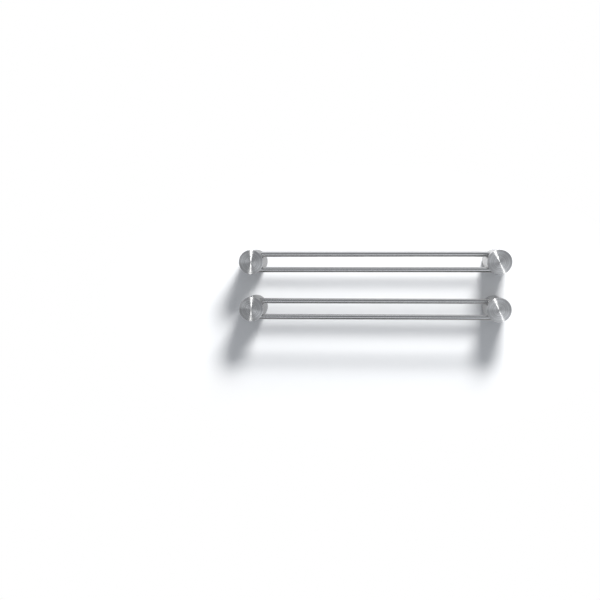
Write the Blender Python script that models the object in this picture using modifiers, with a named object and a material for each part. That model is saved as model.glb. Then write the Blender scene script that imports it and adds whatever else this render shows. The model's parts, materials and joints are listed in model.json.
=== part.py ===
"""Wall-mounted towel rack in satin stainless steel: two alike rails, one above the other.

Each rail is a pair of round bar posts that stand out from the wall and carry two slim rods. The
back rod is the higher one and lies nearer the wall; the front rod is lower and further out. Each
post is open at the back, where it slips over a boss that is screwed to the wall.

Units are metres and +Z is up. X runs along the rods, the wall is the plane y = 0, and the room is
on its -Y side. The origin lies on the wall, midway between the posts and between the rails.
"""
import math

import bmesh
import bpy
from mathutils import Matrix

# Driving dimensions of the rack
POST_SPACING = 0.455  # between the centres of one rail's posts
RAIL_PITCH = 0.0875  # between the centres of the two rails
POST_RADIUS = 0.0225
POST_LENGTH = 0.076  # from the wall to the front face
POST_CHAMFER = 0.0005
ROD_RADIUS = 0.005
ROD_CHAMFER = 0.0006
ROD_RISE = 0.014  # each rod's height above or below its post's centre
BACK_ROD_REACH = 0.046  # from the wall to the rod's axis
FRONT_ROD_REACH = 0.0695
ROD_PAST_POST = 0.008  # how far a rod's end goes beyond its post's centre

GAP = 0.0003  # clearance between pieces that touch

# The hollow in the back of a post and the boss that fills it
SOCKET_RADIUS = 0.0185
SOCKET_DEPTH = 0.028
BOSS_RADIUS = SOCKET_RADIUS - GAP
BOSS_LENGTH = 0.014
BOSS_CHAMFER = 0.0005
GROOVE_HEIGHT = BOSS_LENGTH / 2  # of the V groove's middle, above the wall
GROOVE_DEPTH = 0.0025

# Countersunk wall screws and their plugs, two to each boss
SCREW_SPACING = 0.020
SCREW_LENGTH = 0.050
SCREW_RADIUS = 0.0022
SCREW_HEAD_RADIUS = 0.0042
SCREW_HEAD_RIM = 0.0004
SCREW_TIP = 0.006
SCREW_HOLE_SLACK = 0.0005  # round the shank, where it passes through the boss
SCREW_HOLE_RADIUS = SCREW_RADIUS + SCREW_HOLE_SLACK
RECESS_DEPTH = 0.0018
RECESS_WIDTH = 0.0010
RECESS_SPAN = 0.0044
PLUG_LENGTH = 0.040
PLUG_RADIUS = 0.004
PLUG_BORE_RADIUS = SCREW_RADIUS + GAP

# Socket set screws, M5: short ones lock the posts to the bosses, longer ones clamp the rods
SET_SCREW_RADIUS = 0.0025
SET_SCREW_HOLE_RADIUS = SET_SCREW_RADIUS + GAP
SET_SCREW_CHAMFER = 0.0004
CLAMP_SCREW_LENGTH = 0.008
CLAMP_SCREW_POINT = 0.0008
LOCK_SCREW_INSET = 0.0005  # of its outer end, below the post's surface
LOCK_SCREW_TIP_GAP = 0.0005  # between its point and the bottom of the groove
LOCK_SCREW_TIP_RADIUS = BOSS_RADIUS - GROOVE_DEPTH + LOCK_SCREW_TIP_GAP  # from the post's axis
LOCK_SCREW_LENGTH = POST_RADIUS - LOCK_SCREW_INSET - LOCK_SCREW_TIP_RADIUS
HEX_ACROSS_FLATS = 0.0025
HEX_DEPTH = 0.0024

# Sides of the turned pieces
POST_SIDES = 64
BOSS_SIDES = 48
ROD_SIDES = 24
SMALL_SIDES = 16

OVERSHOOT = 0.001  # how far a cutter stands proud of the surface that it enters
MERGE = 0.00001
SHARP_EDGE = math.radians(30)

OUT_OF_WALL = (math.pi / 2, 0, 0)  # turns a piece's own +Z to point out of the wall
ALONG_RODS = (0, math.pi / 2, 0)  # turns a piece's own +Z to point along +X
INTO_WALL = (-math.pi / 2, 0, 0)  # turns a piece's own +Z to point at the wall
DOWNWARDS = (math.pi, 0, 0)  # turns a piece's own +Z to point straight down


def clear_scene():
    """Removes every object, so that the model starts from an empty scene."""
    for thing in list(bpy.data.objects):
        bpy.data.objects.remove(thing, do_unlink=True)


def new_collection(name):
    """A collection linked to the scene."""
    group = bpy.data.collections.new(name)
    bpy.context.scene.collection.children.link(group)
    return group


def new_material(name, colour, metallic, roughness):
    """A Principled BSDF material."""
    material = bpy.data.materials.new(name)
    material.use_nodes = True
    shader = material.node_tree.nodes["Principled BSDF"]
    shader.inputs["Base Color"].default_value = (*colour, 1)
    shader.inputs["Metallic"].default_value = metallic
    shader.inputs["Roughness"].default_value = roughness
    material.diffuse_color = (*colour, 1)
    return material


def shade(mesh):
    """Smooth shading with sharp corners."""
    mesh.shade_smooth()
    mesh.set_sharp_from_angle(angle=SHARP_EDGE)


def evaluated_mesh(owner):
    """The owner's mesh with its modifiers applied. The owner is removed."""
    bpy.context.view_layer.update()
    graph = bpy.context.evaluated_depsgraph_get()
    mesh = bpy.data.meshes.new_from_object(owner.evaluated_get(graph))
    bpy.data.objects.remove(owner, do_unlink=True)
    return mesh


def turned(name, profile, sides, closed=False):
    """A mesh turned about Z from (radius, height) points, which run down the outer side.

    An open profile starts and ends on the axis; a closed one is a ring's section.
    """
    outline = bpy.data.meshes.new(name + "_profile")
    count = len(profile)
    edges = [(i, i + 1) for i in range(count - 1)]
    if closed:
        edges.append((count - 1, 0))
    outline.from_pydata([(radius, 0, height) for radius, height in profile], edges, [])
    blank = bpy.data.objects.new(name + "_blank", outline)
    bpy.context.scene.collection.objects.link(blank)
    screw = blank.modifiers.new("Screw", "SCREW")
    screw.axis = "Z"
    screw.angle = 2 * math.pi
    screw.steps = sides
    screw.render_steps = sides
    screw.use_merge_vertices = True
    screw.merge_threshold = MERGE
    mesh = evaluated_mesh(blank)
    mesh.name = name
    shade(mesh)
    return mesh


def cylinder_mesh(name, radius, start, end, sides):
    """A plain cylinder about Z from one height to another."""
    mesh = bpy.data.meshes.new(name)
    form = bmesh.new()
    bmesh.ops.create_cone(
        form,
        cap_ends=True,
        segments=sides,
        radius1=radius,
        radius2=radius,
        depth=end - start,
        matrix=Matrix.Translation((0, 0, (start + end) / 2)),
    )
    form.to_mesh(mesh)
    form.free()
    return mesh


def block_mesh(name, size, centre):
    """A plain block of the given size."""
    mesh = bpy.data.meshes.new(name)
    form = bmesh.new()
    bmesh.ops.create_cube(
        form, size=1, matrix=Matrix.Translation(centre) @ Matrix.Diagonal((*size, 1))
    )
    form.to_mesh(mesh)
    form.free()
    return mesh


def place(mesh, name, location, rotation, parent, group, material=None):
    """An object that shows the mesh at a place under its parent."""
    thing = bpy.data.objects.new(name, mesh)
    thing.location = location
    thing.rotation_euler = rotation
    thing.parent = parent
    group.objects.link(thing)
    if material and not mesh.materials:
        mesh.materials.append(material)
    return thing


def place_cutter(mesh, name, location, rotation, parent, group):
    """A wireframe guide that Booleans subtract."""
    cutter = place(mesh, name, location, rotation, parent, group)
    cutter.hide_render = True
    cutter.display_type = "WIRE"
    return cutter


def cut(thing, cutters):
    """Subtracts each cutter from the thing."""
    for cutter in cutters:
        modifier = thing.modifiers.new(cutter.name, "BOOLEAN")
        modifier.operation = "DIFFERENCE"
        modifier.object = cutter


def carved(mesh, cutter_meshes):
    """A copy of the mesh with small recesses cut in it, for pieces that share one shape."""
    scene_objects = bpy.context.scene.collection.objects
    owner = bpy.data.objects.new(mesh.name, mesh)
    scene_objects.link(owner)
    cutters = []
    for cutter_mesh in cutter_meshes:
        cutter = bpy.data.objects.new(cutter_mesh.name, cutter_mesh)
        scene_objects.link(cutter)
        cutters.append(cutter)
    cut(owner, cutters)
    result = evaluated_mesh(owner)
    for cutter in cutters:
        bpy.data.objects.remove(cutter, do_unlink=True)
    shade(result)
    return result


def post_mesh():
    """A solid bar with a round socket in its back. It stands on the wall at z = 0."""
    rim = POST_RADIUS - POST_CHAMFER
    return turned(
        "post",
        [
            (0, POST_LENGTH),
            (rim, POST_LENGTH),
            (POST_RADIUS, POST_LENGTH - POST_CHAMFER),
            (POST_RADIUS, POST_CHAMFER),
            (rim, 0),
            (SOCKET_RADIUS, 0),
            (SOCKET_RADIUS, SOCKET_DEPTH),
            (0, SOCKET_DEPTH),
        ],
        POST_SIDES,
    )


def rod_mesh():
    """A round bar centred on the origin, chamfered at its ends."""
    half = POST_SPACING / 2 + ROD_PAST_POST
    tip = ROD_RADIUS - ROD_CHAMFER
    return turned(
        "rod",
        [
            (0, half),
            (tip, half),
            (ROD_RADIUS, half - ROD_CHAMFER),
            (ROD_RADIUS, ROD_CHAMFER - half),
            (tip, -half),
            (0, -half),
        ],
        ROD_SIDES,
    )


def boss_mesh():
    """A thick disc with a V groove round its side. It stands on the wall at z = 0."""
    rim = BOSS_RADIUS - BOSS_CHAMFER
    return turned(
        "wall_boss",
        [
            (0, BOSS_LENGTH),
            (rim, BOSS_LENGTH),
            (BOSS_RADIUS, BOSS_LENGTH - BOSS_CHAMFER),
            (BOSS_RADIUS, GROOVE_HEIGHT + GROOVE_DEPTH),
            (BOSS_RADIUS - GROOVE_DEPTH, GROOVE_HEIGHT),
            (BOSS_RADIUS, GROOVE_HEIGHT - GROOVE_DEPTH),
            (BOSS_RADIUS, BOSS_CHAMFER),
            (rim, 0),
            (0, 0),
        ],
        BOSS_SIDES,
    )


def countersink_mesh():
    """The cutter for one countersunk screw hole through a boss."""
    mouth = SCREW_HEAD_RADIUS + GAP
    return turned(
        "screw_hole",
        [
            (0, BOSS_LENGTH + OVERSHOOT),
            (mouth, BOSS_LENGTH + OVERSHOOT),
            (mouth, BOSS_LENGTH - SCREW_HEAD_RIM - GAP),
            (SCREW_HOLE_RADIUS, BOSS_LENGTH - SCREW_HEAD_RIM - GAP - mouth + SCREW_HOLE_RADIUS),
            (SCREW_HOLE_RADIUS, -OVERSHOOT),
            (0, -OVERSHOOT),
        ],
        SMALL_SIDES,
    )


def wall_screw_mesh():
    """A countersunk wood screw with a cross recess. Its head lies flush in the boss."""
    top = BOSS_LENGTH - GAP
    neck = top - SCREW_HEAD_RIM - (SCREW_HEAD_RADIUS - SCREW_RADIUS)
    tip = top - SCREW_LENGTH
    blank = turned(
        "wall_screw",
        [
            (0, top),
            (SCREW_HEAD_RADIUS, top),
            (SCREW_HEAD_RADIUS, top - SCREW_HEAD_RIM),
            (SCREW_RADIUS, neck),
            (SCREW_RADIUS, tip + SCREW_TIP),
            (0, tip),
        ],
        SMALL_SIDES,
    )
    height = RECESS_DEPTH + OVERSHOOT
    centre = (0, 0, top - RECESS_DEPTH + height / 2)
    across = block_mesh("recess_across", (RECESS_SPAN, RECESS_WIDTH, height), centre)
    along = block_mesh("recess_along", (RECESS_WIDTH, RECESS_SPAN, height), centre)
    return carved(blank, [across, along])


def plug_mesh():
    """A tube that lines the hole in the wall. Its mouth is just under the wall's surface."""
    return turned(
        "wall_plug",
        [
            (PLUG_BORE_RADIUS, -GAP),
            (PLUG_RADIUS, -GAP),
            (PLUG_RADIUS, -PLUG_LENGTH),
            (PLUG_BORE_RADIUS, -PLUG_LENGTH),
        ],
        SMALL_SIDES,
        closed=True,
    )


def set_screw_mesh(name, length, point_length, point_radius):
    """A socket set screw with its point at the origin and its hex socket at the top."""
    blank = turned(
        name,
        [
            (0, length),
            (SET_SCREW_RADIUS - SET_SCREW_CHAMFER, length),
            (SET_SCREW_RADIUS, length - SET_SCREW_CHAMFER),
            (SET_SCREW_RADIUS, point_length),
            *([(point_radius, 0)] if point_radius else []),
            (0, 0),
        ],
        SMALL_SIDES,
    )
    hex_radius = HEX_ACROSS_FLATS / 2 / math.cos(math.pi / 6)
    socket = cylinder_mesh("hex_socket", hex_radius, length - HEX_DEPTH, length + OVERSHOOT, 6)
    return carved(blank, [socket])


def build_rods(rail_name, rail, shapes, materials, parts, cutters):
    """Both rods of a rail. Returns, for each, its name, height, reach and clearance cutter."""
    half = POST_SPACING / 2 + ROD_PAST_POST + GAP
    rods = []
    for rod_name, height, reach in (
        ("back_rod", ROD_RISE, BACK_ROD_REACH),
        ("front_rod", -ROD_RISE, FRONT_ROD_REACH),
    ):
        name = f"{rail_name}_{rod_name}"
        centre = (0, -reach, height)
        place(shapes["rod"], name, centre, ALONG_RODS, rail, parts, materials["steel"])
        bore = cylinder_mesh(name + "_bore", ROD_RADIUS + GAP, -half, half, ROD_SIDES)
        cutter = place_cutter(bore, name + "_bore", centre, ALONG_RODS, rail, cutters)
        rods.append((rod_name, height, reach, cutter))
    return rods


def build_end(end_name, x, rail, rods, shapes, materials, parts, cutters):
    """One end of a rail: its post, wall boss, wall screws and plugs, and its set screws."""
    foot = (x, 0, 0)
    post = place(
        shapes["post"], end_name + "_post", foot, OUT_OF_WALL, rail, parts, materials["steel"]
    )
    boss = place(
        shapes["boss"], end_name + "_wall_boss", foot, OUT_OF_WALL, rail, parts, materials["zinc"]
    )

    for rod_name, height, reach, bore in rods:
        clamp_name = f"{end_name}_{rod_name}_screw"
        hole_name = clamp_name + "_hole"
        hole_mesh = cylinder_mesh(
            hole_name, SET_SCREW_HOLE_RADIUS, SOCKET_DEPTH - OVERSHOOT, reach, SMALL_SIDES
        )
        line = (x, 0, height)
        hole = place_cutter(hole_mesh, hole_name, line, OUT_OF_WALL, rail, cutters)
        cut(post, [bore, hole])
        point = (x, ROD_RADIUS + GAP - reach, height)
        place(shapes["clamp_screw"], clamp_name, point, INTO_WALL, rail, parts, materials["black"])

    lock_name = end_name + "_lock_screw"
    lock_hole = cylinder_mesh(
        lock_name + "_hole",
        SET_SCREW_HOLE_RADIUS,
        SOCKET_RADIUS - OVERSHOOT,
        POST_RADIUS + OVERSHOOT,
        SMALL_SIDES,
    )
    level = (x, -GROOVE_HEIGHT, 0)
    cut(post, [place_cutter(lock_hole, lock_name + "_hole", level, DOWNWARDS, rail, cutters)])
    tip = (x, -GROOVE_HEIGHT, -LOCK_SCREW_TIP_RADIUS)
    place(shapes["lock_screw"], lock_name, tip, DOWNWARDS, rail, parts, materials["black"])

    inward = -math.copysign(SCREW_SPACING / 2, x)
    for side_name, offset in (("inner", inward), ("outer", -inward)):
        line = (x + offset, 0, 0)
        screw_name = f"{end_name}_wall_screw_{side_name}"
        hole = place_cutter(
            shapes["countersink"], screw_name + "_hole", line, OUT_OF_WALL, rail, cutters
        )
        cut(boss, [hole])
        place(
            shapes["wall_screw"], screw_name, line, OUT_OF_WALL, rail, parts, materials["plated"]
        )
        plug_name = f"{end_name}_wall_plug_{side_name}"
        place(shapes["plug"], plug_name, line, OUT_OF_WALL, rail, parts, materials["nylon"])


def build():
    clear_scene()
    parts = new_collection("towel_rack")
    cutters = new_collection("cutters")
    materials = {
        "steel": new_material("satin_stainless", (0.60, 0.60, 0.59), 1.0, 0.32),
        "zinc": new_material("cast_zinc", (0.52, 0.53, 0.54), 1.0, 0.45),
        "plated": new_material("plated_screw_steel", (0.66, 0.67, 0.66), 1.0, 0.30),
        "black": new_material("black_set_screw_steel", (0.07, 0.07, 0.075), 1.0, 0.40),
        "nylon": new_material("grey_nylon", (0.42, 0.43, 0.44), 0.0, 0.50),
    }
    shapes = {
        "post": post_mesh(),
        "rod": rod_mesh(),
        "boss": boss_mesh(),
        "countersink": countersink_mesh(),
        "wall_screw": wall_screw_mesh(),
        "plug": plug_mesh(),
        "clamp_screw": set_screw_mesh(
            "clamp_screw",
            CLAMP_SCREW_LENGTH,
            CLAMP_SCREW_POINT,
            SET_SCREW_RADIUS - CLAMP_SCREW_POINT,
        ),
        "lock_screw": set_screw_mesh("lock_screw", LOCK_SCREW_LENGTH, SET_SCREW_RADIUS, 0),
    }
    rack = bpy.data.objects.new("rack", None)
    parts.objects.link(rack)
    for rail_name, height in (("upper", RAIL_PITCH / 2), ("lower", -RAIL_PITCH / 2)):
        rail = bpy.data.objects.new(rail_name + "_rail", None)
        rail.location = (0, 0, height)
        rail.parent = rack
        parts.objects.link(rail)
        rods = build_rods(rail_name, rail, shapes, materials, parts, cutters)
        for side_name, x in (("left", -POST_SPACING / 2), ("right", POST_SPACING / 2)):
            end_name = f"{rail_name}_{side_name}"
            build_end(end_name, x, rail, rods, shapes, materials, parts, cutters)


build()
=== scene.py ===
"""Looks of the wall-mounted towel rack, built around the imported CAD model.

Fine meshes stand for the CAD nodes: turned and brushed bar posts, round rods, cast bosses, threaded
screws and ribbed plugs. A piece that is turned has its own +Z along its axis, so that one finish fits
every piece of its kind. Units are metres, in the frame of the CAD model.
"""
import json
import math

import bmesh
import bpy
from mathutils import Matrix, Vector

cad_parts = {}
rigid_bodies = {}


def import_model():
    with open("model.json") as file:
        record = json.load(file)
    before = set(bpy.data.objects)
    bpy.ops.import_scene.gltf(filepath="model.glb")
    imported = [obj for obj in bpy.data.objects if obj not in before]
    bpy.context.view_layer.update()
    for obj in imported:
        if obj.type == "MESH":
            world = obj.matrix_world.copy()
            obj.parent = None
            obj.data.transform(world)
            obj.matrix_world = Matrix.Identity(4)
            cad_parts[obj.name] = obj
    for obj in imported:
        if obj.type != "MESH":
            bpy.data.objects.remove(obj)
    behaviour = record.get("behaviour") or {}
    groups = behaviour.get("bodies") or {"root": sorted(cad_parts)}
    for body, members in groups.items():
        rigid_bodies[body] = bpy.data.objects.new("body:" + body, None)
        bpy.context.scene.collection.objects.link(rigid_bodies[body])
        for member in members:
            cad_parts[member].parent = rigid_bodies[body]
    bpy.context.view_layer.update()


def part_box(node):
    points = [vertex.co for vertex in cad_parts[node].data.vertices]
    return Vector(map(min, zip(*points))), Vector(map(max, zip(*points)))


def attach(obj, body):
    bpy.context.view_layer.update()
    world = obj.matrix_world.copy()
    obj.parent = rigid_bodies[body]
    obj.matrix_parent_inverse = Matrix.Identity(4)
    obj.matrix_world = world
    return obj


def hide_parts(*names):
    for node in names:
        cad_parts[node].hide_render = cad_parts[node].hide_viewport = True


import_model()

MM = 0.001

# The rack's layout. The CAD nodes are named by rail, side and rod.
RAILS = ("upper", "lower")
SIDES = ("left", "right")
ROD_NAMES = ("back_rod", "front_rod")

OUT_OF_WALL = Matrix.Rotation(math.pi / 2, 4, "X")  # turns a piece's own +Z to point out of the wall
INTO_WALL = Matrix.Rotation(-math.pi / 2, 4, "X")
ALONG_RODS = Matrix.Rotation(math.pi / 2, 4, "Y")
DOWNWARDS = Matrix.Rotation(math.pi, 4, "X")

POST_SIDES = 192
ROD_SIDES = 96
BOSS_SIDES = 128
PLUG_SIDES = 48
SCREW_SIDES = 32
ARC_STEPS = 6
SUPPORT = 0.06 * MM  # distance of the loop that keeps a flat stretch flat beside a rounded edge
MERGE = 0.0005 * MM
SHARP_EDGE = math.radians(30)
OVERSHOOT = 1 * MM  # how far a cutter stands proud of the surface that it enters


def centre_of(node):
    low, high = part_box(node)
    return (low + high) / 2


def size_of(node):
    low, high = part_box(node)
    return high - low


# Dimensions of the pieces, measured on the CAD nodes
POST_RADIUS = size_of("upper_left_post").x / 2
POST_LENGTH = size_of("upper_left_post").y
ROD_RADIUS = size_of("upper_back_rod").z / 2
ROD_HALF = size_of("upper_back_rod").x / 2
BOSS_RADIUS = size_of("upper_left_wall_boss").x / 2
BOSS_LENGTH = size_of("upper_left_wall_boss").y
PLUG_RADIUS = size_of("upper_left_wall_plug_inner").x / 2
PLUG_LENGTH = size_of("upper_left_wall_plug_inner").y
SCREW_HEAD_RADIUS = size_of("upper_left_wall_screw_inner").x / 2
SCREW_LENGTH = size_of("upper_left_wall_screw_inner").y
CLAMP_RADIUS = size_of("upper_left_back_rod_screw").x / 2
CLAMP_LENGTH = size_of("upper_left_back_rod_screw").y
LOCK_LENGTH = size_of("upper_left_lock_screw").z
SCREW_OFFSET = abs(centre_of("upper_left_wall_screw_inner").x - centre_of("upper_left_post").x)


# Mesh tools


def arc(centre_radius, centre_height, radius, start, end):
    """Points of a rounded edge in a (radius, height) profile. Angles are in degrees."""
    points = []
    for i in range(ARC_STEPS + 1):
        angle = math.radians(start + (end - start) * i / ARC_STEPS)
        points.append(
            (centre_radius + radius * math.cos(angle), centre_height + radius * math.sin(angle))
        )
    return points


def finished(form, name):
    """A mesh from a bmesh, with outward normals, smooth shading and sharp corners."""
    bmesh.ops.remove_doubles(form, verts=form.verts, dist=MERGE)
    bmesh.ops.recalc_face_normals(form, faces=form.faces)
    mesh = bpy.data.meshes.new(name)
    form.to_mesh(mesh)
    form.free()
    shade(mesh)
    return mesh


def shade(mesh):
    mesh.shade_smooth()
    mesh.set_sharp_from_angle(angle=SHARP_EDGE)


def turned(name, profile, sides, closed=False):
    """A mesh turned about Z from (radius, height) points. A closed profile is a ring's section."""
    form = bmesh.new()
    points = [form.verts.new((radius, 0, height)) for radius, height in profile]
    pairs = list(zip(points, points[1:]))
    if closed:
        pairs.append((points[-1], points[0]))
    edges = [form.edges.new(pair) for pair in pairs]
    bmesh.ops.spin(
        form,
        geom=points + edges,
        axis=(0, 0, 1),
        cent=(0, 0, 0),
        angle=2 * math.pi,
        steps=sides,
        use_merge=True,
    )
    return finished(form, name)


def block(name, size, centre, taper=1.0):
    """A block for a cutter. Its lower end is narrowed by the taper."""
    form = bmesh.new()
    made = bmesh.ops.create_cube(form, size=1, matrix=Matrix.Diagonal((*size, 1)))
    for vertex in made["verts"]:
        if vertex.co.z < 0:
            vertex.co.x *= taper
            vertex.co.y *= taper
    bmesh.ops.translate(form, verts=form.verts, vec=centre)
    return finished(form, name)


def round_cutter(name, radius, start, end, sides, place=Matrix.Identity(4)):
    """A cylinder for a cutter, about the placed Z axis."""
    form = bmesh.new()
    bmesh.ops.create_cone(
        form,
        cap_ends=True,
        segments=sides,
        radius1=radius,
        radius2=radius,
        depth=end - start,
        matrix=place @ Matrix.Translation((0, 0, (start + end) / 2)),
    )
    return finished(form, name)


def combined(mesh, others, operation):
    """The mesh after a Boolean with each of the other meshes."""
    scene_objects = bpy.context.scene.collection.objects
    owner = bpy.data.objects.new(mesh.name, mesh)
    tools = [bpy.data.objects.new(other.name, other) for other in others]
    for thing in [owner, *tools]:
        scene_objects.link(thing)
    for tool in tools:
        modifier = owner.modifiers.new(tool.name, "BOOLEAN")
        modifier.operation = operation
        modifier.object = tool
    bpy.context.view_layer.update()
    graph = bpy.context.evaluated_depsgraph_get()
    result = bpy.data.meshes.new_from_object(owner.evaluated_get(graph))
    result.name = mesh.name
    for thing in [owner, *tools]:
        bpy.data.objects.remove(thing, do_unlink=True)
    shade(result)
    return result


def threaded(name, low, high, pitch, core, depth, ridge, sides, runout):
    """A closed threaded stem about Z. core(height) is the root's radius.

    The rows of the mesh follow the helix: a row's height on the ridge repeats at every turn, and what
    would lie beyond either end is laid on that end.
    """
    rows = len(ridge)
    total = rows * (math.ceil((high - low) / pitch) + 2)
    form = bmesh.new()
    grid = []
    for side in range(sides):
        angle = 2 * math.pi * side / sides
        column = []
        for row in range(total + 1):
            height = low + pitch * (row / rows + side / sides - 1)
            height = min(max(height, low), high)
            fade = min(1, (height - low) / runout, (high - height) / runout)
            radius = core(height) + depth * ridge[row % rows] * fade
            column.append(
                form.verts.new((radius * math.cos(angle), radius * math.sin(angle), height))
            )
        grid.append(column)
    for side in range(sides):
        last = side == sides - 1
        step = rows if last else 0
        near, far = grid[side], grid[0 if last else side + 1]
        for row in range(total - step):
            form.faces.new((near[row], far[row + step], far[row + step + 1], near[row + 1]))
    bmesh.ops.remove_doubles(form, verts=form.verts, dist=MERGE)
    bmesh.ops.dissolve_degenerate(form, edges=form.edges, dist=MERGE)
    bmesh.ops.holes_fill(form, edges=[e for e in form.edges if e.is_boundary], sides=0)
    loose = [v for v in form.verts if not v.link_faces]
    bmesh.ops.delete(form, geom=loose, context="VERTS")
    return finished(form, name)


# Posts: solid bars, faced on a lathe, with a socket at the back

POST_EDGE = 0.5 * MM  # radius of the rounded front edge
POST_BACK_EDGE = 0.4 * MM
SOCKET_RADIUS = BOSS_RADIUS + 0.3 * MM
SOCKET_DEPTH = 28 * MM
SOCKET_EDGE = 0.3 * MM
CENTRE_PIP_RADIUS = 0.5 * MM  # the small mark that facing leaves in the middle
CENTRE_PIP_FLOOR = 0.3 * MM  # radius of its flat bottom
CENTRE_PIP_DEPTH = 0.04 * MM
SLOW_CUT_RADIUS = 10 * MM  # within it the tool cuts slower, and the face is rougher
RING_STEP = 0.4 * MM
RING_DEPTH = 0.003 * MM
RING_PITCH = 1.9 * MM
DRIFT_PITCH = 2.7 * RING_PITCH  # the rings' depth wanders over this pitch
DRIFT_PHASE = 1.3
DRIFT_SHARE = 0.4
BORE_CLEARANCE = 0.06 * MM
TAP_CLEARANCE = 0.3 * MM


def ring_height(radius):
    """How much lower the faced end is at a radius: shallow rings of uneven pitch."""
    wave = math.sin(2 * math.pi * radius / RING_PITCH)
    drift = math.sin(2 * math.pi * radius / DRIFT_PITCH + DRIFT_PHASE)
    return -RING_DEPTH * (1 + wave * (1 - DRIFT_SHARE + DRIFT_SHARE * drift)) / 2


def post_profile():
    flat = POST_RADIUS - POST_EDGE - SUPPORT
    points = [
        (0, POST_LENGTH - CENTRE_PIP_DEPTH),
        (CENTRE_PIP_FLOOR, POST_LENGTH - CENTRE_PIP_DEPTH),
        (CENTRE_PIP_RADIUS, POST_LENGTH - RING_DEPTH),
    ]
    radius = CENTRE_PIP_RADIUS + RING_STEP
    while radius < flat - RING_STEP:
        points.append((radius, POST_LENGTH + ring_height(radius)))
        radius += RING_STEP
    points.append((flat, POST_LENGTH))
    points += arc(POST_RADIUS - POST_EDGE, POST_LENGTH - POST_EDGE, POST_EDGE, 90, 0)
    points.append((POST_RADIUS, POST_LENGTH - POST_EDGE - SUPPORT))
    points.append((POST_RADIUS, POST_BACK_EDGE + SUPPORT))
    points += arc(POST_RADIUS - POST_BACK_EDGE, POST_BACK_EDGE, POST_BACK_EDGE, 0, -90)
    points += [
        (SOCKET_RADIUS + SOCKET_EDGE, 0),
        (SOCKET_RADIUS, SOCKET_EDGE),
        (SOCKET_RADIUS, SOCKET_DEPTH),
        (0, SOCKET_DEPTH),
    ]
    return points


def post_mesh(side):
    """A post with its rod bores, clamp screw holes and lock screw hole."""
    post = centre_of(f"upper_{side}_post")
    outwards = math.copysign(1, post.x)
    cutters = []
    for rod in ROD_NAMES:
        rod_centre = centre_of("upper_" + rod)
        rise = rod_centre.z - post.z
        reach = -rod_centre.y
        past = ROD_HALF - abs(post.x) + BORE_CLEARANCE
        ends = sorted((outwards * past, -outwards * 2 * POST_RADIUS))
        axis = Matrix.Translation((0, rise, reach)) @ ALONG_RODS
        cutters.append(
            round_cutter(rod + "_bore", ROD_RADIUS + BORE_CLEARANCE, *ends, ROD_SIDES, axis)
        )
        clamp_axis = Matrix.Translation((0, rise, 0))
        cutters.append(
            round_cutter(
                rod + "_clamp_hole",
                CLAMP_RADIUS + TAP_CLEARANCE,
                SOCKET_DEPTH - OVERSHOOT,
                reach,
                SCREW_SIDES,
                clamp_axis,
            )
        )
    lock = centre_of(f"upper_{side}_lock_screw")
    lock_axis = Matrix.Translation((0, 0, -lock.y)) @ Matrix.Rotation(math.pi / 2, 4, "X")
    cutters.append(
        round_cutter(
            "lock_hole",
            CLAMP_RADIUS + TAP_CLEARANCE,
            SOCKET_RADIUS - OVERSHOOT,
            POST_RADIUS + OVERSHOOT,
            SCREW_SIDES,
            lock_axis,
        )
    )
    blank = turned(side + "_post", post_profile(), POST_SIDES)
    return combined(blank, cutters, "DIFFERENCE")


# Rods

ROD_EDGE = 0.5 * MM


def rod_mesh():
    """A round bar with rounded ends, centred on its own origin."""
    edge = arc(ROD_RADIUS - ROD_EDGE, ROD_HALF - ROD_EDGE, ROD_EDGE, 90, 0)
    upper = [(0, ROD_HALF), (ROD_RADIUS - ROD_EDGE - SUPPORT, ROD_HALF), *edge]
    upper.append((ROD_RADIUS, ROD_HALF - ROD_EDGE - SUPPORT))
    lower = [(radius, -height) for radius, height in reversed(upper)]
    return turned("rod", upper + lower, ROD_SIDES)


# Wall bosses: zinc castings with a V groove for the lock screw and two countersunk holes

BOSS_EDGE = 0.5 * MM
GROOVE_DEPTH = 2.5 * MM
SCREW_HOLE_RADIUS = 2.7 * MM
HEAD_SLACK = 0.3 * MM
HEAD_RIM = 0.4 * MM
BACK_POCKET_DEPTH = 0.6 * MM  # the casting's annular relief, which leaves a rim and a hub on the wall
BACK_POCKET_INNER = 14.9 * MM
BACK_POCKET_OUTER = 16.6 * MM
POCKET_DRAFT = 0.2 * MM


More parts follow.
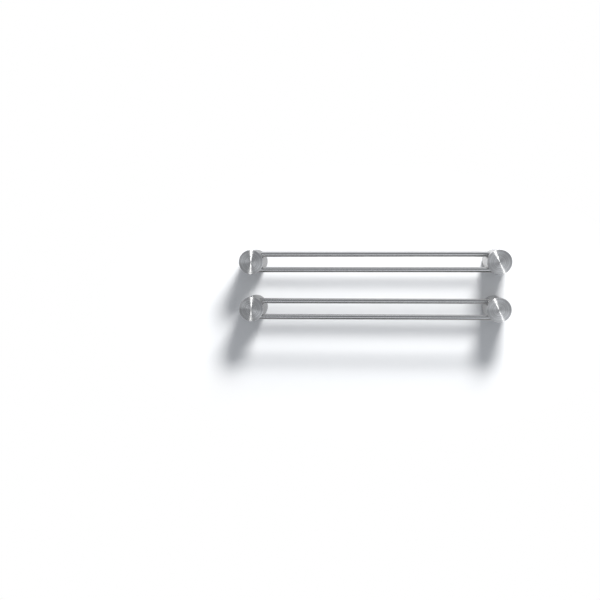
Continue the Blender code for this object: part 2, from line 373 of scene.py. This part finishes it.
def boss_mesh():
    middle = BOSS_LENGTH / 2
    profile = [
        (0, BOSS_LENGTH),
        *arc(BOSS_RADIUS - BOSS_EDGE, BOSS_LENGTH - BOSS_EDGE, BOSS_EDGE, 90, 0),
        (BOSS_RADIUS, middle + GROOVE_DEPTH),
        (BOSS_RADIUS - GROOVE_DEPTH, middle),
        (BOSS_RADIUS, middle - GROOVE_DEPTH),
        *arc(BOSS_RADIUS - BOSS_EDGE, BOSS_EDGE, BOSS_EDGE, 0, -90),
        (BACK_POCKET_OUTER, 0),
        (BACK_POCKET_OUTER - POCKET_DRAFT, BACK_POCKET_DEPTH),
        (BACK_POCKET_INNER + POCKET_DRAFT, BACK_POCKET_DEPTH),
        (BACK_POCKET_INNER, 0),
        (0, 0),
    ]
    blank = turned("wall_boss", profile, BOSS_SIDES)
    mouth = SCREW_HEAD_RADIUS + HEAD_SLACK
    hole = [
        (0, BOSS_LENGTH + OVERSHOOT),
        (mouth, BOSS_LENGTH + OVERSHOOT),
        (mouth, BOSS_LENGTH - HEAD_RIM - HEAD_SLACK),
        (SCREW_HOLE_RADIUS, BOSS_LENGTH - HEAD_RIM - HEAD_SLACK - mouth + SCREW_HOLE_RADIUS),
        (SCREW_HOLE_RADIUS, -OVERSHOOT),
        (0, -OVERSHOOT),
    ]
    cutters = []
    for offset in (-SCREW_OFFSET, SCREW_OFFSET):
        cutter = turned("screw_hole", hole, PLUG_SIDES)
        cutter.transform(Matrix.Translation((offset, 0, 0)))
        cutters.append(cutter)
    return combined(blank, cutters, "DIFFERENCE")


# Wall screws: countersunk wood screws. The wall is at z = 0 of the screw's own frame.

SHANK_RADIUS = 2.0 * MM
SCREW_CORE_RADIUS = 1.45 * MM
SCREW_CREST_RADIUS = 2.2 * MM
SCREW_PITCH = 1.9 * MM
SCREW_RIDGE = (0, 0, 0, 0.5, 1, 0.5)
SMOOTH_SHANK = 9 * MM
TIP_TAPER = 6 * MM
RECESS_DEPTH = 1.9 * MM
RECESS_SPAN = 4.4 * MM
RECESS_WIDTH = 0.95 * MM
RECESS_TAPER = 0.55


def wall_screw_mesh():
    top = -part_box("upper_left_wall_screw_inner")[0].y
    tip = top - SCREW_LENGTH
    neck = top - HEAD_RIM - (SCREW_HEAD_RADIUS - SHANK_RADIUS)
    shank_end = neck - SMOOTH_SHANK
    head = turned(
        "wall_screw",
        [
            (0, top),
            *arc(SCREW_HEAD_RADIUS - HEAD_RIM / 2, top - HEAD_RIM / 2, HEAD_RIM / 2, 90, 0),
            (SCREW_HEAD_RADIUS, top - HEAD_RIM),
            (SHANK_RADIUS, neck),
            (SHANK_RADIUS, shank_end),
            (SCREW_CORE_RADIUS, shank_end - SHANK_RADIUS + SCREW_CORE_RADIUS),
            (0, shank_end - SHANK_RADIUS + SCREW_CORE_RADIUS),
        ],
        SCREW_SIDES,
    )

    def core(height):
        return SCREW_CORE_RADIUS * min(1, (height - tip) / TIP_TAPER)

    stem = threaded(
        "screw_thread",
        tip,
        shank_end,
        SCREW_PITCH,
        core,
        SCREW_CREST_RADIUS - SCREW_CORE_RADIUS,
        SCREW_RIDGE,
        SCREW_SIDES,
        SCREW_PITCH,
    )
    screw = combined(head, [stem], "UNION")
    height = RECESS_DEPTH + OVERSHOOT
    centre = (0, 0, top - RECESS_DEPTH + height / 2)
    across = block("recess_across", (RECESS_SPAN, RECESS_WIDTH, height), centre, RECESS_TAPER)
    along = block("recess_along", (RECESS_WIDTH, RECESS_SPAN, height), centre, RECESS_TAPER)
    return combined(screw, [across, along], "DIFFERENCE")


# Wall plugs: split nylon tubes with barbs and two fins that stop them turning

PLUG_BORE = 2.5 * MM
PLUG_BODY_RADIUS = 3.45 * MM
PLUG_COLLAR = 3 * MM
BARB_PITCH = 3.2 * MM
BARB_COUNT = 9
SLIT_WIDTH = 0.9 * MM
SLIT_START = 8 * MM
SLIT_END = 34 * MM
FIN_WIDTH = 0.8 * MM
FIN_END = 20 * MM
PLUG_NOSE = 1.2 * MM


def plug_mesh():
    mouth = -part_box("upper_left_wall_plug_inner")[0].y
    end = mouth - PLUG_LENGTH
    outer = [(PLUG_RADIUS, mouth), (PLUG_RADIUS, mouth - PLUG_COLLAR)]
    height = mouth - PLUG_COLLAR
    for _ in range(BARB_COUNT):
        outer.append((PLUG_BODY_RADIUS, height))
        outer.append((PLUG_RADIUS - FIN_WIDTH / 4, height - BARB_PITCH))
        height -= BARB_PITCH
    outer += [(PLUG_BODY_RADIUS, height), (PLUG_BODY_RADIUS, end + PLUG_NOSE)]
    outer += [(PLUG_BODY_RADIUS - PLUG_NOSE / 2, end), (PLUG_BORE, end)]
    body = turned("wall_plug", [(PLUG_BORE, mouth), *outer], PLUG_SIDES, closed=True)
    fin_length = FIN_END - PLUG_COLLAR
    fins = []
    for sign in (-1, 1):
        inner = (PLUG_BORE + PLUG_BODY_RADIUS) / 2
        width = PLUG_RADIUS - inner - FIN_WIDTH / 10
        centre = (sign * (inner + width / 2), 0, mouth - PLUG_COLLAR / 2 - fin_length / 2)
        fins.append(block("fin", (width, FIN_WIDTH, fin_length + PLUG_COLLAR / 2), centre))
    body = combined(body, fins, "UNION")
    slit_centre = (0, 0, mouth - (SLIT_START + SLIT_END) / 2)
    slit = block("slit", (SLIT_WIDTH, 3 * PLUG_RADIUS, SLIT_END - SLIT_START), slit_centre)
    return combined(body, [slit], "DIFFERENCE")


# Set screws, M5 with a hex socket. The point is at the origin and the socket at the top.

SET_CORE_RADIUS = 2.08 * MM
SET_PITCH = 0.8 * MM
SET_RIDGE = (0, 0.5, 1, 0.5)
SET_CHAMFER = 0.4 * MM
HEX_ACROSS_FLATS = 2.5 * MM
HEX_DEPTH = 2.4 * MM
CLAMP_POINT = 0.8 * MM


def set_screw_mesh(name, length, point_length, point_radius):
    def core(height):
        share = min(1, height / point_length)
        lower = point_radius + (SET_CORE_RADIUS - point_radius) * share
        upper = SET_CORE_RADIUS - max(0, height - length + SET_CHAMFER) / 2
        return min(lower, upper)

    depth = CLAMP_RADIUS - SET_CORE_RADIUS
    blank = threaded(
        name, 0, length, SET_PITCH, core, depth, SET_RIDGE, SCREW_SIDES, SET_PITCH
    )
    hex_radius = HEX_ACROSS_FLATS / 2 / math.cos(math.pi / 6)
    socket = round_cutter("hex_socket", hex_radius, length - HEX_DEPTH, length + OVERSHOOT, 6)
    return combined(blank, [socket], "DIFFERENCE")


# Finishes


class Finish:
    """A Principled material whose node tree is built up step by step."""

    def __init__(self, name, metallic):
        self.material = bpy.data.materials.new(name)
        self.material.use_nodes = True
        self.tree = self.material.node_tree
        self.shader = self.tree.nodes["Principled BSDF"]
        self.shader.inputs["Metallic"].default_value = metallic
        self.place = self.node("ShaderNodeTexCoord").outputs["Object"]

    def node(self, kind, inputs=None, **settings):
        """A node with its settings made and its inputs set or linked."""
        made = self.tree.nodes.new(kind)
        for name, value in settings.items():
            setattr(made, name, value)
        for name, value in (inputs or {}).items():
            self.feed(made.inputs[name], value)
        return made

    def feed(self, socket, value):
        if isinstance(value, bpy.types.NodeSocket):
            self.tree.links.new(value, socket)
        else:
            socket.default_value = value

    def math(self, operation, first, second):
        return self.node("ShaderNodeMath", {0: first, 1: second}, operation=operation).outputs[0]

    def scaled_place(self, scale):
        """The piece's own coordinates, stretched."""
        made = self.node("ShaderNodeVectorMath", {0: self.place, 1: scale}, operation="MULTIPLY")
        return made.outputs[0]

    def radius(self):
        """Distance from the piece's own Z axis."""
        flat = self.scaled_place((1, 1, 0))
        return self.node("ShaderNodeVectorMath", {0: flat}, operation="LENGTH").outputs["Value"]

    def height(self):
        """Distance along the piece's own Z axis."""
        return self.node("ShaderNodeSeparateXYZ", {0: self.place}).outputs["Z"]

    def noise(self, vector, scale, detail=2.0, roughness=0.5):
        made = self.node(
            "ShaderNodeTexNoise",
            {"Vector": vector, "Scale": scale, "Detail": detail, "Roughness": roughness},
        )
        return made.outputs["Fac"]

    def spread(self, value, low, high, start=0.0, end=1.0):
        """The value's stretch from start to end, mapped from low to high and held at the ends."""
        made = self.node(
            "ShaderNodeMapRange",
            {"Value": value, "From Min": start, "From Max": end, "To Min": low, "To Max": high},
        )
        return made.outputs["Result"]

    def blend(self, share, first, second):
        """A colour between two, by a share."""
        made = self.node("ShaderNodeMix", data_type="RGBA")
        self.feed(made.inputs["Factor"], share)
        for index, colour in ((6, first), (7, second)):
            self.feed(made.inputs[index], colour)
        return made.outputs[2]

    def paint(self, colour, roughness, relief, tangent=None):
        """Links the finished colour, roughness, relief height in metres, and tangent."""
        self.feed(self.shader.inputs["Base Color"], colour)
        self.feed(self.shader.inputs["Roughness"], roughness)
        bump = self.node("ShaderNodeBump", {"Height": relief, "Distance": 1.0, "Strength": 1.0})
        self.feed(self.shader.inputs["Normal"], bump.outputs["Normal"])
        if tangent:
            self.feed(self.shader.inputs["Tangent"], tangent)
        return self.material


FACE_TILT = math.radians(2.0)
STEEL = (1.0, 0.993, 0.982)  # tint of the bare metal
POST_TONES = (0.46, 0.60, 0.80)  # in the grooves, on the ridges, and a lighter tone on the rounded rim that is a painted highlight
ROD_TONES = (0.575, 0.605, 0.70)
POST_ROUGHNESS = 0.25
POST_SIDE_ROUGHNESS = 0.18
ROD_ROUGHNESS = 0.24
POST_RING_RELIEF = 0.006 * MM
ROD_RING_RELIEF = 0.0001 * MM
QUARTER_TURN = 0.25  # lays the fine direction of the anisotropy along the rings
# Noise scales are per metre. A window is the stretch of a noise that is used.
TONE_WINDOW = (0.35, 0.65)
ROUGH_WINDOW = (0.3, 0.7)
BROAD_RINGS = 520
FINE_RINGS = 2600
BROAD_SHARE = 0.7
SMUDGES = 38
SMUDGE_CHANGE = 0.08  # share of the roughness
RING_CHANGE = 0.005  # of the roughness
SLOW_CUT_ROUGHNESS = 1.3  # times the face's own, at its centre
# share of the lighter tone on the rounded rim, a painted highlight
RIM_HIGHLIGHT = 0.5


def turned_steel(name, tones, roughness, ring_relief, tilt=0.0, side_roughness=None):
    """Stainless steel with fine rings about the piece's own axis.

    The rings are a pattern of radius and height. The tilt is the lean of each ring's flank, outwards.
    A side roughness is given for a post: its rounded rim is painted lighter, a painted highlight, and
    the middle of its face is rougher.
    """
    finish = Finish(name, 1.0)
    finish.shader.inputs["Anisotropic"].default_value = 1.0
    finish.shader.inputs["Anisotropic Rotation"].default_value = QUARTER_TURN
    radius, height = finish.radius(), finish.height()
    rings_place = finish.node("ShaderNodeCombineXYZ", {"X": radius, "Y": height}).outputs[0]
    broad = finish.noise(rings_place, BROAD_RINGS, detail=3)
    fine = finish.noise(rings_place, FINE_RINGS)
    smudge = finish.noise(finish.place, SMUDGES, detail=3)
    broad_part = finish.math("MULTIPLY", broad, BROAD_SHARE)
    fine_part = finish.math("MULTIPLY", fine, 1 - BROAD_SHARE)
    share = finish.spread(finish.math("ADD", broad_part, fine_part), 0, 1, *TONE_WINDOW)
    dark, light, rim_highlight = [(*[tone * part for part in STEEL], 1) for tone in tones]
    colour = finish.blend(share, dark, light)
    change = roughness * SMUDGE_CHANGE
    rough = finish.spread(smudge, roughness - change, roughness + change, *ROUGH_WINDOW)
    ring_change = finish.spread(broad, -RING_CHANGE, RING_CHANGE, *ROUGH_WINDOW)
    rough = finish.math("ADD", rough, ring_change)
    if side_roughness:
        front = finish.spread(height, 0, 1, POST_LENGTH - 2 * POST_EDGE, POST_LENGTH - POST_EDGE)
        rim = finish.spread(radius, 0, 1, POST_RADIUS - 2 * POST_EDGE, POST_RADIUS - POST_EDGE)
        edge = finish.math("MULTIPLY", rim, front)
        rough = finish.math("MULTIPLY", rough, finish.spread(front, side_roughness / roughness, 1))
        slow_cut = finish.spread(radius, SLOW_CUT_ROUGHNESS, 1, 0, SLOW_CUT_RADIUS)
        rough = finish.math("MULTIPLY", rough, slow_cut)
        # Painted highlight: the rounded front rim is blended towards a lighter tone
        colour = finish.blend(finish.math("MULTIPLY", edge, RIM_HIGHLIGHT), colour, rim_highlight)
    relief = finish.math("MULTIPLY", radius, -math.tan(tilt))
    relief = finish.math("ADD", relief, finish.math("MULTIPLY", broad, ring_relief))
    tangent = finish.node("ShaderNodeTangent", direction_type="RADIAL", axis="Z").outputs[0]
    return finish.paint(colour, rough, relief, tangent)


ZINC_TONES = ((0.40, 0.41, 0.43, 1), (0.56, 0.57, 0.58, 1))
ZINC_ROUGHNESS = (0.38, 0.56)
FLOW_MARKS = 120
FLOW_STRETCH = (1, 2.2, 1)
FLOW_RELIEF = 0.05 * MM
SANDY_SKIN = 2200
SKIN_RELIEF = 0.02 * MM


def cast_zinc():
    """Die-cast zinc: dull grey, with a fine sandy skin and faint flow marks."""
    finish = Finish("cast_zinc", 1.0)
    flow = finish.noise(finish.scaled_place(FLOW_STRETCH), FLOW_MARKS, detail=4, roughness=0.6)
    skin = finish.noise(finish.place, SANDY_SKIN)
    colour = finish.blend(finish.spread(flow, 0, 1, *TONE_WINDOW), *ZINC_TONES)
    rough = finish.spread(skin, *ZINC_ROUGHNESS, *ROUGH_WINDOW)
    sand = finish.math("MULTIPLY", skin, SKIN_RELIEF)
    waves = finish.math("MULTIPLY", flow, FLOW_RELIEF)
    return finish.paint(colour, rough, finish.math("ADD", sand, waves))


PLATED_TONES = ((0.58, 0.60, 0.63, 1), (0.76, 0.76, 0.73, 1))
PLATED_ROUGHNESS = (0.20, 0.34)
PLATED_CLOUDS = 420
DRAWN_LINES = 3000
DRAWN_STRETCH = (1, 1, 0.12)
DRAWN_RELIEF = 0.008 * MM


def plated_steel():
    """Bright zinc plating over rolled threads."""
    finish = Finish("plated_screw", 1.0)
    cloud = finish.noise(finish.place, PLATED_CLOUDS, detail=3)
    drawn = finish.noise(finish.scaled_place(DRAWN_STRETCH), DRAWN_LINES)
    colour = finish.blend(finish.spread(cloud, 0, 1, *TONE_WINDOW), *PLATED_TONES)
    rough = finish.spread(drawn, *PLATED_ROUGHNESS, *ROUGH_WINDOW)
    return finish.paint(colour, rough, finish.math("MULTIPLY", drawn, DRAWN_RELIEF))


NYLON_TONES = ((0.36, 0.37, 0.38, 1), (0.46, 0.47, 0.48, 1))
NYLON_ROUGHNESS = (0.42, 0.60)
NYLON_SPECULAR = 0.45
NYLON_MOTTLE = 180
NYLON_GRAIN = 3800
NYLON_RELIEF = 0.012 * MM


def nylon():
    """Moulded grey nylon with a faint eroded texture."""
    finish = Finish("nylon_plug", 0.0)
    finish.shader.inputs["Specular IOR Level"].default_value = NYLON_SPECULAR
    mottle = finish.noise(finish.place, NYLON_MOTTLE, detail=3)
    grain = finish.noise(finish.place, NYLON_GRAIN)
    colour = finish.blend(finish.spread(mottle, 0, 1, *TONE_WINDOW), *NYLON_TONES)
    rough = finish.spread(grain, *NYLON_ROUGHNESS, *ROUGH_WINDOW)
    return finish.paint(colour, rough, finish.math("MULTIPLY", grain, NYLON_RELIEF))


OXIDE_TONES = ((0.045, 0.045, 0.05, 1), (0.16, 0.16, 0.17, 1))
OXIDE_ROUGHNESS = (0.30, 0.46)
RUBBED_SPOTS = 900
RUBBED_WINDOW = (0.45, 0.75)
OXIDE_GRAIN = 4200
OXIDE_RELIEF = 0.006 * MM


def black_oxide():
    """Blackened steel with a trace of oil and rubbed spots."""
    finish = Finish("black_set_screw", 1.0)
    rub = finish.noise(finish.place, RUBBED_SPOTS, detail=4, roughness=0.65)
    grain = finish.noise(finish.place, OXIDE_GRAIN)
    colour = finish.blend(finish.spread(rub, 0, 1, *RUBBED_WINDOW), *OXIDE_TONES)
    rough = finish.spread(grain, *OXIDE_ROUGHNESS, *ROUGH_WINDOW)
    return finish.paint(colour, rough, finish.math("MULTIPLY", grain, OXIDE_RELIEF))


FINISHES = {
    "satin_stainless_post": turned_steel(
        "satin_stainless_post",
        POST_TONES,
        POST_ROUGHNESS,
        POST_RING_RELIEF,
        FACE_TILT,
        POST_SIDE_ROUGHNESS,
    ),
    "satin_stainless_rod": turned_steel(
        "satin_stainless_rod", ROD_TONES, ROD_ROUGHNESS, ROD_RING_RELIEF
    ),
    "cast_zinc": cast_zinc(),
    "plated_screw": plated_steel(),
    "nylon_plug": nylon(),
    "black_set_screw": black_oxide(),
}


# Pieces


def add_piece(node, mesh, turn, origin, slot):
    """A piece that stands for a CAD node, with its own origin at a place in the row frame."""
    piece = bpy.data.objects.new(node + "_piece", mesh)
    bpy.context.scene.collection.objects.link(piece)
    piece.matrix_world = Matrix.Translation(origin) @ turn
    if not mesh.materials:
        mesh.materials.append(FINISHES[slot])
    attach(piece, "root")
    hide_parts(node)


def add_rack():
    posts = {side: post_mesh(side) for side in SIDES}
    rod = rod_mesh()
    boss = boss_mesh()
    wall_screw = wall_screw_mesh()
    plug = plug_mesh()
    clamp = set_screw_mesh("clamp_screw", CLAMP_LENGTH, CLAMP_POINT, CLAMP_RADIUS - CLAMP_POINT)
    lock = set_screw_mesh("lock_screw", LOCK_LENGTH, CLAMP_RADIUS, 0)
    for rail in RAILS:
        for rod_name in ROD_NAMES:
            node = f"{rail}_{rod_name}"
            add_piece(node, rod, ALONG_RODS, centre_of(node), "satin_stainless_rod")
        for side in SIDES:
            end = f"{rail}_{side}"
            post = centre_of(end + "_post")
            foot = Vector((post.x, 0, post.z))
            add_piece(end + "_post", posts[side], OUT_OF_WALL, foot, "satin_stainless_post")
            add_piece(end + "_wall_boss", boss, OUT_OF_WALL, foot, "cast_zinc")
            for place in ("inner", "outer"):
                node = f"{end}_wall_screw_{place}"
                line = Vector((centre_of(node).x, 0, post.z))
                add_piece(node, wall_screw, OUT_OF_WALL, line, "plated_screw")
                node = f"{end}_wall_plug_{place}"
                add_piece(node, plug, OUT_OF_WALL, line, "nylon_plug")
            for rod_name in ROD_NAMES:
                node = f"{end}_{rod_name}_screw"
                low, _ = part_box(node)
                point = Vector((centre_of(node).x, low.y, centre_of(node).z))
                add_piece(node, clamp, INTO_WALL, point, "black_set_screw")
            node = end + "_lock_screw"
            _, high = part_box(node)
            point = Vector((centre_of(node).x, centre_of(node).y, high.z))
            add_piece(node, lock, DOWNWARDS, point, "black_set_screw")


add_rack()


# Stage: a white wall that shows only from the room, and a pale floor

WALL_GAP = 0.4 * MM  # behind the posts' feet
WALL_WIDTH = 6.0
WALL_TOP = 2.0
FLOOR_LEVEL = -1.1
FLOOR_DEPTH = 4.0
WALL_COLOUR = (0.90, 0.905, 0.91, 1)
FLOOR_COLOUR = (0.80, 0.80, 0.79, 1)
MATT = 0.9  # roughness of both paints
NEAR_WALL = 3 * MM  # light that has come less far passes through the wall
REFLECTED_SHADE_COLOUR = (0.50, 0.50, 0.51, 1)  # painted shade: the wall's left part as reflections see it
REFLECTED_SHADE_FROM = 0.3
REFLECTED_SHADE_TO = -0.3
SHADOW_CENTRE = (-0.02, 0, -0.04)
SHADOW_REACH = (0.33, 1, 0.17)
GLOW_FROM = 1.0  # in shadow reaches from the shadows' centre
GLOW_TO = 1.6


def add_plane(name, corners, material):
    mesh = bpy.data.meshes.new(name)
    form = bmesh.new()
    form.faces.new([form.verts.new(corner) for corner in corners])
    form.to_mesh(mesh)
    form.free()
    mesh.materials.append(material)
    plane = bpy.data.objects.new(name, mesh)
    bpy.context.scene.collection.objects.link(plane)
    return plane


def plain_material(name, colour):
    material = bpy.data.materials.new(name)
    material.use_nodes = True
    shader = material.node_tree.nodes["Principled BSDF"]
    shader.inputs["Base Color"].default_value = colour
    shader.inputs["Roughness"].default_value = MATT
    shader.inputs["Specular IOR Level"].default_value = 0.0
    return material


def product(nodes, links, first, second):
    made = nodes.new("ShaderNodeMath")
    made.operation = "MULTIPLY"
    links.new(first, made.inputs[0])
    links.new(second, made.inputs[1])
    return made.outputs[0]


def join_shaders(material, share, first, second):
    """A mix of two shaders. The share is that of the second."""
    nodes, links = material.node_tree.nodes, material.node_tree.links
    mix = nodes.new("ShaderNodeMixShader")
    links.new(share, mix.inputs[0])
    links.new(first.outputs[0], mix.inputs[1])
    links.new(second.outputs[0], mix.inputs[2])
    return mix


def room_glow(material):
    """A share that is 0 round the rack and 1 further off, where the wall glows instead of being lit."""
    nodes, links = material.node_tree.nodes, material.node_tree.links
    place = nodes.new("ShaderNodeTexCoord")
    offset = nodes.new("ShaderNodeVectorMath")
    offset.operation = "SUBTRACT"
    offset.inputs[1].default_value = SHADOW_CENTRE
    links.new(place.outputs["Object"], offset.inputs[0])
    scaled = nodes.new("ShaderNodeVectorMath")
    scaled.operation = "DIVIDE"
    scaled.inputs[1].default_value = SHADOW_REACH
    links.new(offset.outputs[0], scaled.inputs[0])
    distance = nodes.new("ShaderNodeVectorMath")
    distance.operation = "LENGTH"
    links.new(scaled.outputs[0], distance.inputs[0])
    share = nodes.new("ShaderNodeMapRange")
    share.interpolation_type = "SMOOTHSTEP"
    share.inputs["From Min"].default_value = GLOW_FROM
    share.inputs["From Max"].default_value = GLOW_TO
    links.new(distance.outputs["Value"], share.inputs["Value"])
    return share.outputs["Result"]


def wall_material():
    """White paint on the room's side, with painted shade on its left part that only reflections see,
    that glows away from the rack.

    From behind it isn't there, nor for light that has come only a few mm.
    """
    material = plain_material("wall_paint", WALL_COLOUR)
    nodes, links = material.node_tree.nodes, material.node_tree.links
    shader = nodes["Principled BSDF"]
    clear = nodes.new("ShaderNodeBsdfTransparent")
    facing = nodes.new("ShaderNodeNewGeometry")
    path = nodes.new("ShaderNodeLightPath")
    near = nodes.new("ShaderNodeMath")
    near.operation = "LESS_THAN"
    near.inputs[1].default_value = NEAR_WALL
    links.new(path.outputs["Ray Length"], near.inputs[0])
    either = nodes.new("ShaderNodeMath")
    either.operation = "MAXIMUM"
    links.new(facing.outputs["Backfacing"], either.inputs[0])
    links.new(near.outputs[0], either.inputs[1])
    lit = join_shaders(material, room_glow(material), shader, nodes.new("ShaderNodeEmission"))
    # Painted shade: a grey that only reflections see on the wall's left part
    reflected_shade = nodes.new("ShaderNodeBsdfDiffuse")
    reflected_shade.inputs["Color"].default_value = REFLECTED_SHADE_COLOUR
    place = nodes.new("ShaderNodeTexCoord")
    split = nodes.new("ShaderNodeSeparateXYZ")
    links.new(place.outputs["Object"], split.inputs[0])
    leftness = nodes.new("ShaderNodeMapRange")
    leftness.inputs["From Min"].default_value = REFLECTED_SHADE_FROM
    leftness.inputs["From Max"].default_value = REFLECTED_SHADE_TO
    links.new(split.outputs["X"], leftness.inputs["Value"])
    reflected_shade_share = product(nodes, links, leftness.outputs["Result"], path.outputs["Is Glossy Ray"])
    seen = join_shaders(material, reflected_shade_share, lit, reflected_shade)
    final = join_shaders(material, either.outputs[0], seen, clear)
    links.new(final.outputs[0], nodes["Material Output"].inputs["Surface"])
    return material


half = WALL_WIDTH / 2
add_plane(
    "wall",
    [
        (-half, WALL_GAP, FLOOR_LEVEL),
        (half, WALL_GAP, FLOOR_LEVEL),
        (half, WALL_GAP, WALL_TOP),
        (-half, WALL_GAP, WALL_TOP),
    ],
    wall_material(),
)
floor = add_plane(
    "floor",
    [
        (-half, -FLOOR_DEPTH, FLOOR_LEVEL),
        (half, -FLOOR_DEPTH, FLOOR_LEVEL),
        (half, WALL_GAP, FLOOR_LEVEL),
        (-half, WALL_GAP, FLOOR_LEVEL),
    ],
    plain_material("floor_paint", FLOOR_COLOUR),
)
floor.visible_glossy = False
floor.visible_diffuse = False


# Light


def add_area_light(name, place, width, height, power):
    """A rectangular lamp that faces the rack's origin."""
    light = bpy.data.lights.new(name, "AREA")
    light.shape = "RECTANGLE"
    light.size = width
    light.size_y = height
    light.energy = power
    thing = bpy.data.objects.new(name, light)
    thing.location = place
    thing.rotation_euler = (-Vector(place)).to_track_quat("-Z", "Y").to_euler()
    thing.visible_camera = False
    bpy.context.scene.collection.objects.link(thing)
    return thing


def keep_strength(light):
    """Makes a light equally strong at any distance."""
    light.use_nodes = True
    nodes, links = light.node_tree.nodes, light.node_tree.links
    falloff = nodes.new("ShaderNodeLightFalloff")
    falloff.inputs["Strength"].default_value = 1.0
    links.new(falloff.outputs["Constant"], nodes["Emission"].inputs["Strength"])


KEY_LIGHTS = (  # name, place, width, height and power
    ("key_low", (0.439, -1.023, 1.204), 0.533, 0.327, 8.9),
    ("key_high", (0.472, -1.023, 1.608), 0.533, 0.557, 6.0),
)
for light_name, place, width, height, power in KEY_LIGHTS:
    key = add_area_light(light_name, place, width, height, power)
    key.visible_glossy = False
    keep_strength(key.data)

STREAK_DIRECTION = Vector((-0.108, -0.844, 0.525))
STREAK_POWER = 1.2
STREAK_ANGLE = math.radians(5)


def add_streak_light():
    """A far, narrow light that only the posts reflect. It draws the wedges on their faces."""
    light = bpy.data.lights.new("streak", "SUN")
    light.energy = STREAK_POWER
    light.angle = STREAK_ANGLE
    thing = bpy.data.objects.new("streak", light)
    thing.rotation_euler = (-STREAK_DIRECTION).to_track_quat("-Z", "Y").to_euler()
    thing.visible_diffuse = False
    bpy.context.scene.collection.objects.link(thing)
    faces = bpy.data.collections.new("turned_faces")
    for piece in bpy.context.scene.objects:
        if piece.name.endswith("_post_piece"):
            faces.objects.link(piece)
    thing.light_linking.receiver_collection = faces


add_streak_light()


SURROUNDINGS = (0.95, 0.985, 1.04, 1)
AMBIENT = 0.40
CAMERA_LEVEL = 0.95
ROOM_LEFT = 0.95
ROOM_RIGHT = 1.02
# Something dark stands to the left, just under eye level: (axis, fade start, fade end)
DARK_PATCH_DEPTH = 0.65
DARK_PATCH_EDGES = (("X", 0.14, -0.12), ("Z", -0.04, -0.055), ("Z", -0.70, -0.45))
ROOM_LEVELS = (  # height from -1 below to 1 above, and level
    (-1.0, 0.03),
    (-0.76, 0.05),
    (-0.56, 1.25),
    (-0.22, 1.50),
    (-0.17, 0.72),
    (0.10, 0.70),
    (0.20, 0.22),
    (0.72, 0.20),
    (0.84, 0.95),
    (1.0, 1.05),
)


def dark_patch(nodes, links, direction):
    """How much darker the room is in a direction."""
    patch = None
    for axis, start, end in DARK_PATCH_EDGES:
        edge = nodes.new("ShaderNodeMapRange")
        edge.interpolation_type = "SMOOTHSTEP"
        edge.inputs["From Min"].default_value = start
        edge.inputs["From Max"].default_value = end
        links.new(direction.outputs[axis], edge.inputs["Value"])
        if patch:
            patch = product(nodes, links, edge.outputs["Result"], patch)
        else:
            edge.inputs["To Max"].default_value = DARK_PATCH_DEPTH
            patch = edge.outputs["Result"]
    return patch


def add_world():
    """Even surroundings for the camera and for diffuse light.

    Reflections see a room that is graded by height and side, with a dark patch.
    """
    world = bpy.data.worlds.new("studio")
    world.use_nodes = True
    bpy.context.scene.world = world
    nodes, links = world.node_tree.nodes, world.node_tree.links
    background = nodes["Background"]
    background.inputs["Color"].default_value = SURROUNDINGS
    direction = nodes.new("ShaderNodeTexCoord")
    split = nodes.new("ShaderNodeSeparateXYZ")
    links.new(direction.outputs["Generated"], split.inputs[0])
    place = nodes.new("ShaderNodeMapRange")
    place.inputs["From Min"].default_value = -1
    links.new(split.outputs["Z"], place.inputs["Value"])
    ramp = nodes.new("ShaderNodeValToRGB")
    links.new(place.outputs["Result"], ramp.inputs["Fac"])
    elements = ramp.color_ramp.elements
    for height, _ in ROOM_LEVELS[1:-1]:
        elements.new((height + 1) / 2)
    for element, (_, level) in zip(elements, ROOM_LEVELS):
        element.color = (level, level, level, 1)
    side = nodes.new("ShaderNodeMapRange")
    side.inputs["From Min"].default_value = -1
    side.inputs["To Min"].default_value = ROOM_LEFT
    side.inputs["To Max"].default_value = ROOM_RIGHT
    links.new(split.outputs["X"], side.inputs["Value"])
    graded = product(nodes, links, ramp.outputs["Color"], side.outputs["Result"])
    patch = dark_patch(nodes, links, split)
    lightness = nodes.new("ShaderNodeMath")
    lightness.operation = "SUBTRACT"
    lightness.inputs[0].default_value = 1.0
    links.new(patch, lightness.inputs[1])
    strength = product(nodes, links, graded, lightness.outputs[0])
    path = nodes.new("ShaderNodeLightPath")
    for ray, level in (("Is Camera Ray", CAMERA_LEVEL), ("Is Diffuse Ray", AMBIENT)):
        mix = nodes.new("ShaderNodeMix")
        links.new(path.outputs[ray], mix.inputs["Factor"])
        links.new(strength, mix.inputs["A"])
        mix.inputs["B"].default_value = level
        strength = mix.outputs["Result"]
    links.new(strength, background.inputs["Strength"])


add_world()
bpy.context.scene.view_settings.view_transform = "Standard"


# Camera

CAMERA_PLACE = (-0.0075, -1.6836, 0.0799)
CAMERA_TURN = math.radians(4.575)
CAMERA_PITCH = math.radians(-3.766)
CAMERA_ROLL = math.radians(-0.11)
CAMERA_LENS = 52.39
SENSOR_WIDTH = 36.0

camera = bpy.data.objects.new("camera", bpy.data.cameras.new("camera"))
camera.data.sensor_width = SENSOR_WIDTH
camera.data.lens = CAMERA_LENS
camera.matrix_world = (
    Matrix.Translation(CAMERA_PLACE)
    @ Matrix.Rotation(CAMERA_TURN, 4, "Z")
    @ Matrix.Rotation(math.pi / 2 + CAMERA_PITCH, 4, "X")
    @ Matrix.Rotation(CAMERA_ROLL, 4, "Z")
)
bpy.context.scene.collection.objects.link(camera)
bpy.context.scene.camera = camera
